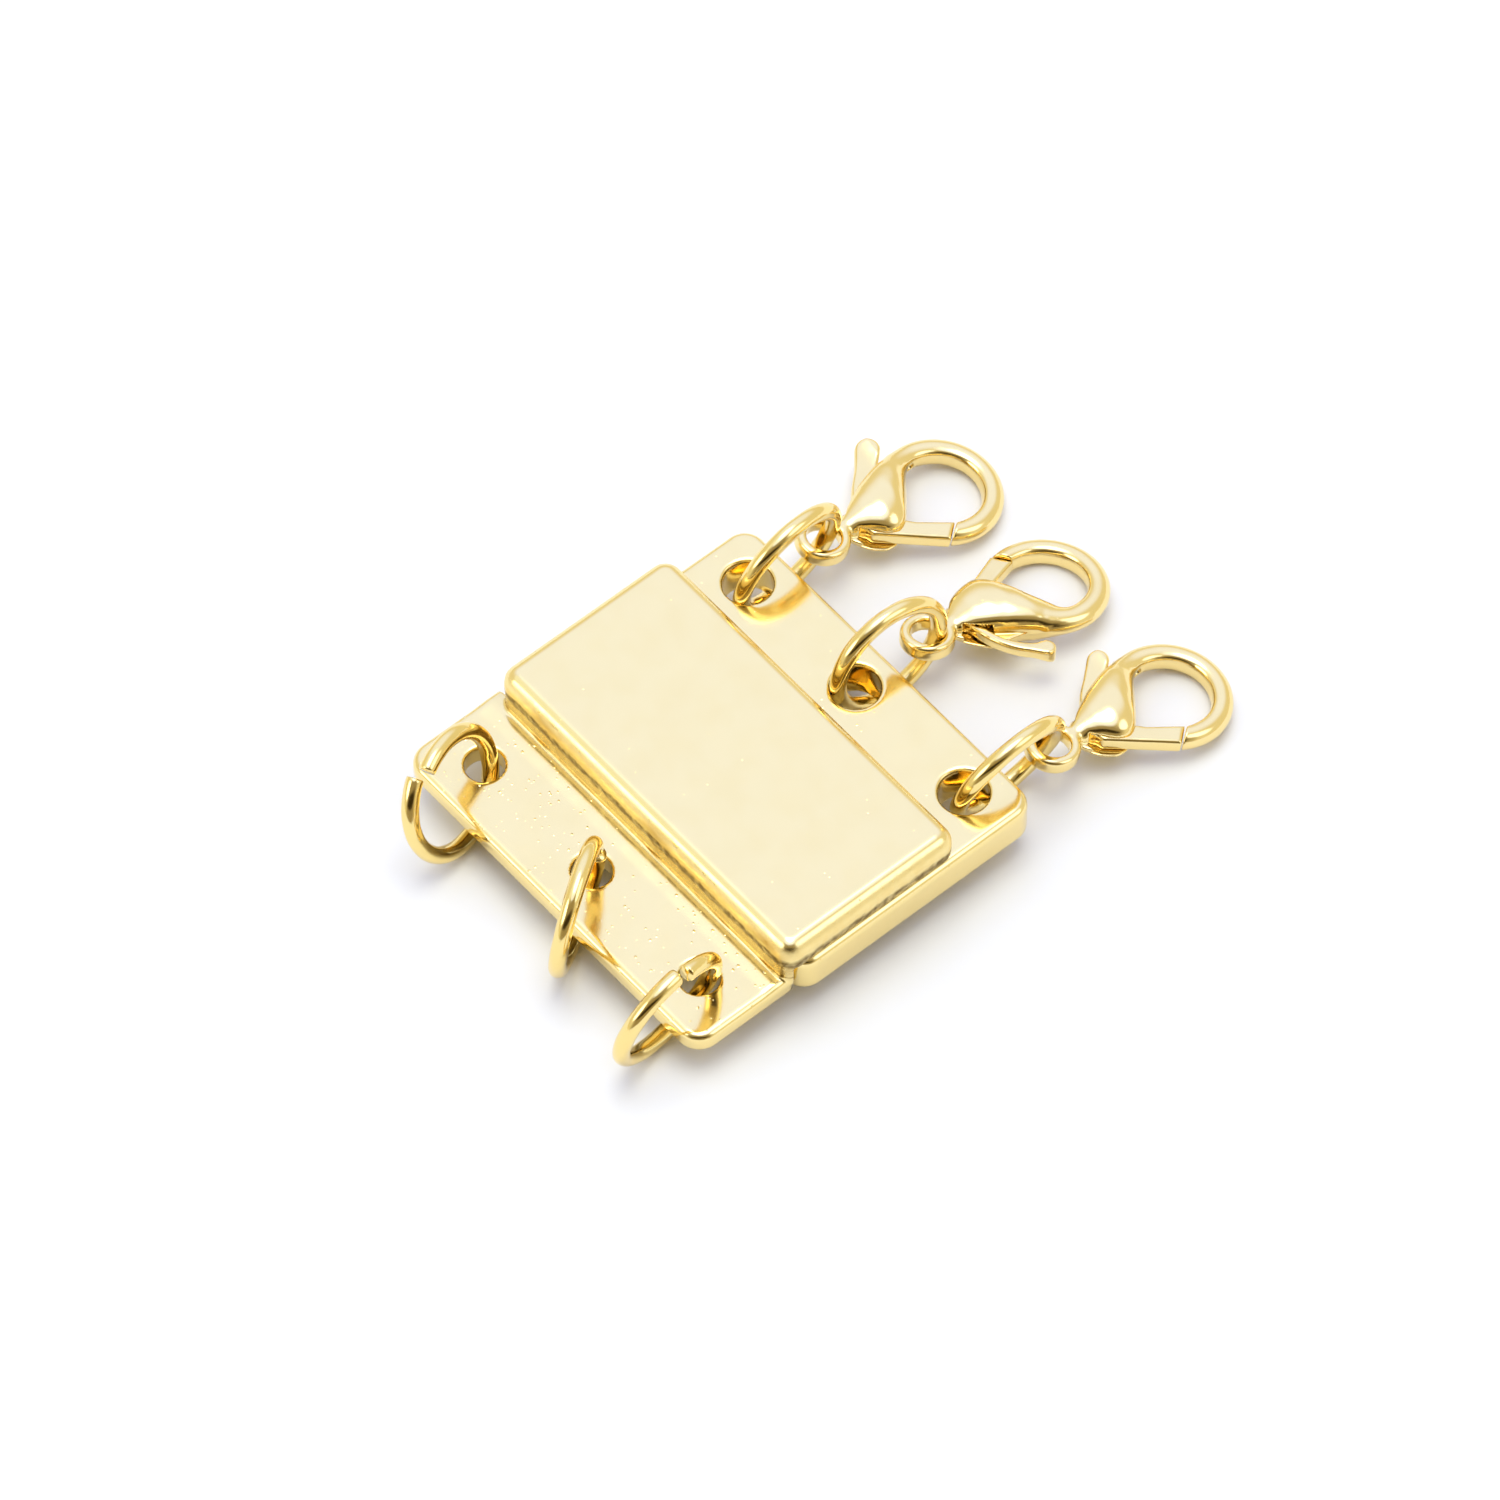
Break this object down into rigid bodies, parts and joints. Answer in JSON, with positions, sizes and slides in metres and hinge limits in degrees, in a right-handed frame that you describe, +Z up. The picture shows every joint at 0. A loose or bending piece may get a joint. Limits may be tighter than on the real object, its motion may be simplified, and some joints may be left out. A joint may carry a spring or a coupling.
{
  "type": "magnetic layering clasp",
  "caption": "Gold plated magnetic clasp that holds layered necklaces apart: two stepped halves with rows of holes, cut jump rings on one side and lobster clasps on the other.",
  "frame": {"origin": "middle of the footprint, on the surface that the clasp lies on", "axes": "+X along the rows of holes, +Y from the open rings to the lobster clasps, +Z up out of the raised block's face"},
  "size_m": [0.023, 0.0364, 0.0068],
  "materials": {
    "gold_plate": "polished pale gold plating with small pits",
    "magnet_steel": "nickel plated",
    "pin_steel": "plain turned"
  },
  "bodies": {
    "clasp": {"upper_half": "gold_plate", "lower_half": "gold_plate", "upper_magnet": "magnet_steel", "lower_magnet": "magnet_steel", "open_ring_1": "gold_plate", "open_ring_2": "gold_plate", "open_ring_3": "gold_plate", "link_ring_1": "gold_plate", "link_ring_2": "gold_plate", "link_ring_3": "gold_plate", "lobster_body_1": "gold_plate", "lobster_body_2": "gold_plate", "lobster_body_3": "gold_plate", "lever_pin_1": "pin_steel", "lever_pin_2": "pin_steel", "lever_pin_3": "pin_steel"},
    "lever_1": {"lobster_lever_1": "gold_plate"},
    "lever_2": {"lobster_lever_2": "gold_plate"},
    "lever_3": {"lobster_lever_3": "gold_plate"}
  },
  "joints": [
    {"name": "lever_1_hinge", "type": "hinge", "parent": "clasp", "child": "lever_1", "pos_m": [-0.00788, 0.01041, 0.00177], "axis": [0.0588, 0.1794, 0.982], "range_deg": [0, 20], "stiffness_Nm_per_rad": 0.003, "springref_deg": -5.73},
    {"name": "lever_2_hinge", "type": "hinge", "parent": "clasp", "child": "lever_2", "pos_m": [-0.00052, 0.01056, 0.00185], "axis": [0.1288, -0.1935, -0.9726], "range_deg": [0, 20], "stiffness_Nm_per_rad": 0.003, "springref_deg": -5.73},
    {"name": "lever_3_hinge", "type": "hinge", "parent": "clasp", "child": "lever_3", "pos_m": [0.00792, 0.01092, 0.00181], "axis": [0.0221, 0.1878, 0.982], "range_deg": [0, 20], "stiffness_Nm_per_rad": 0.003, "springref_deg": -5.73}
  ]
}
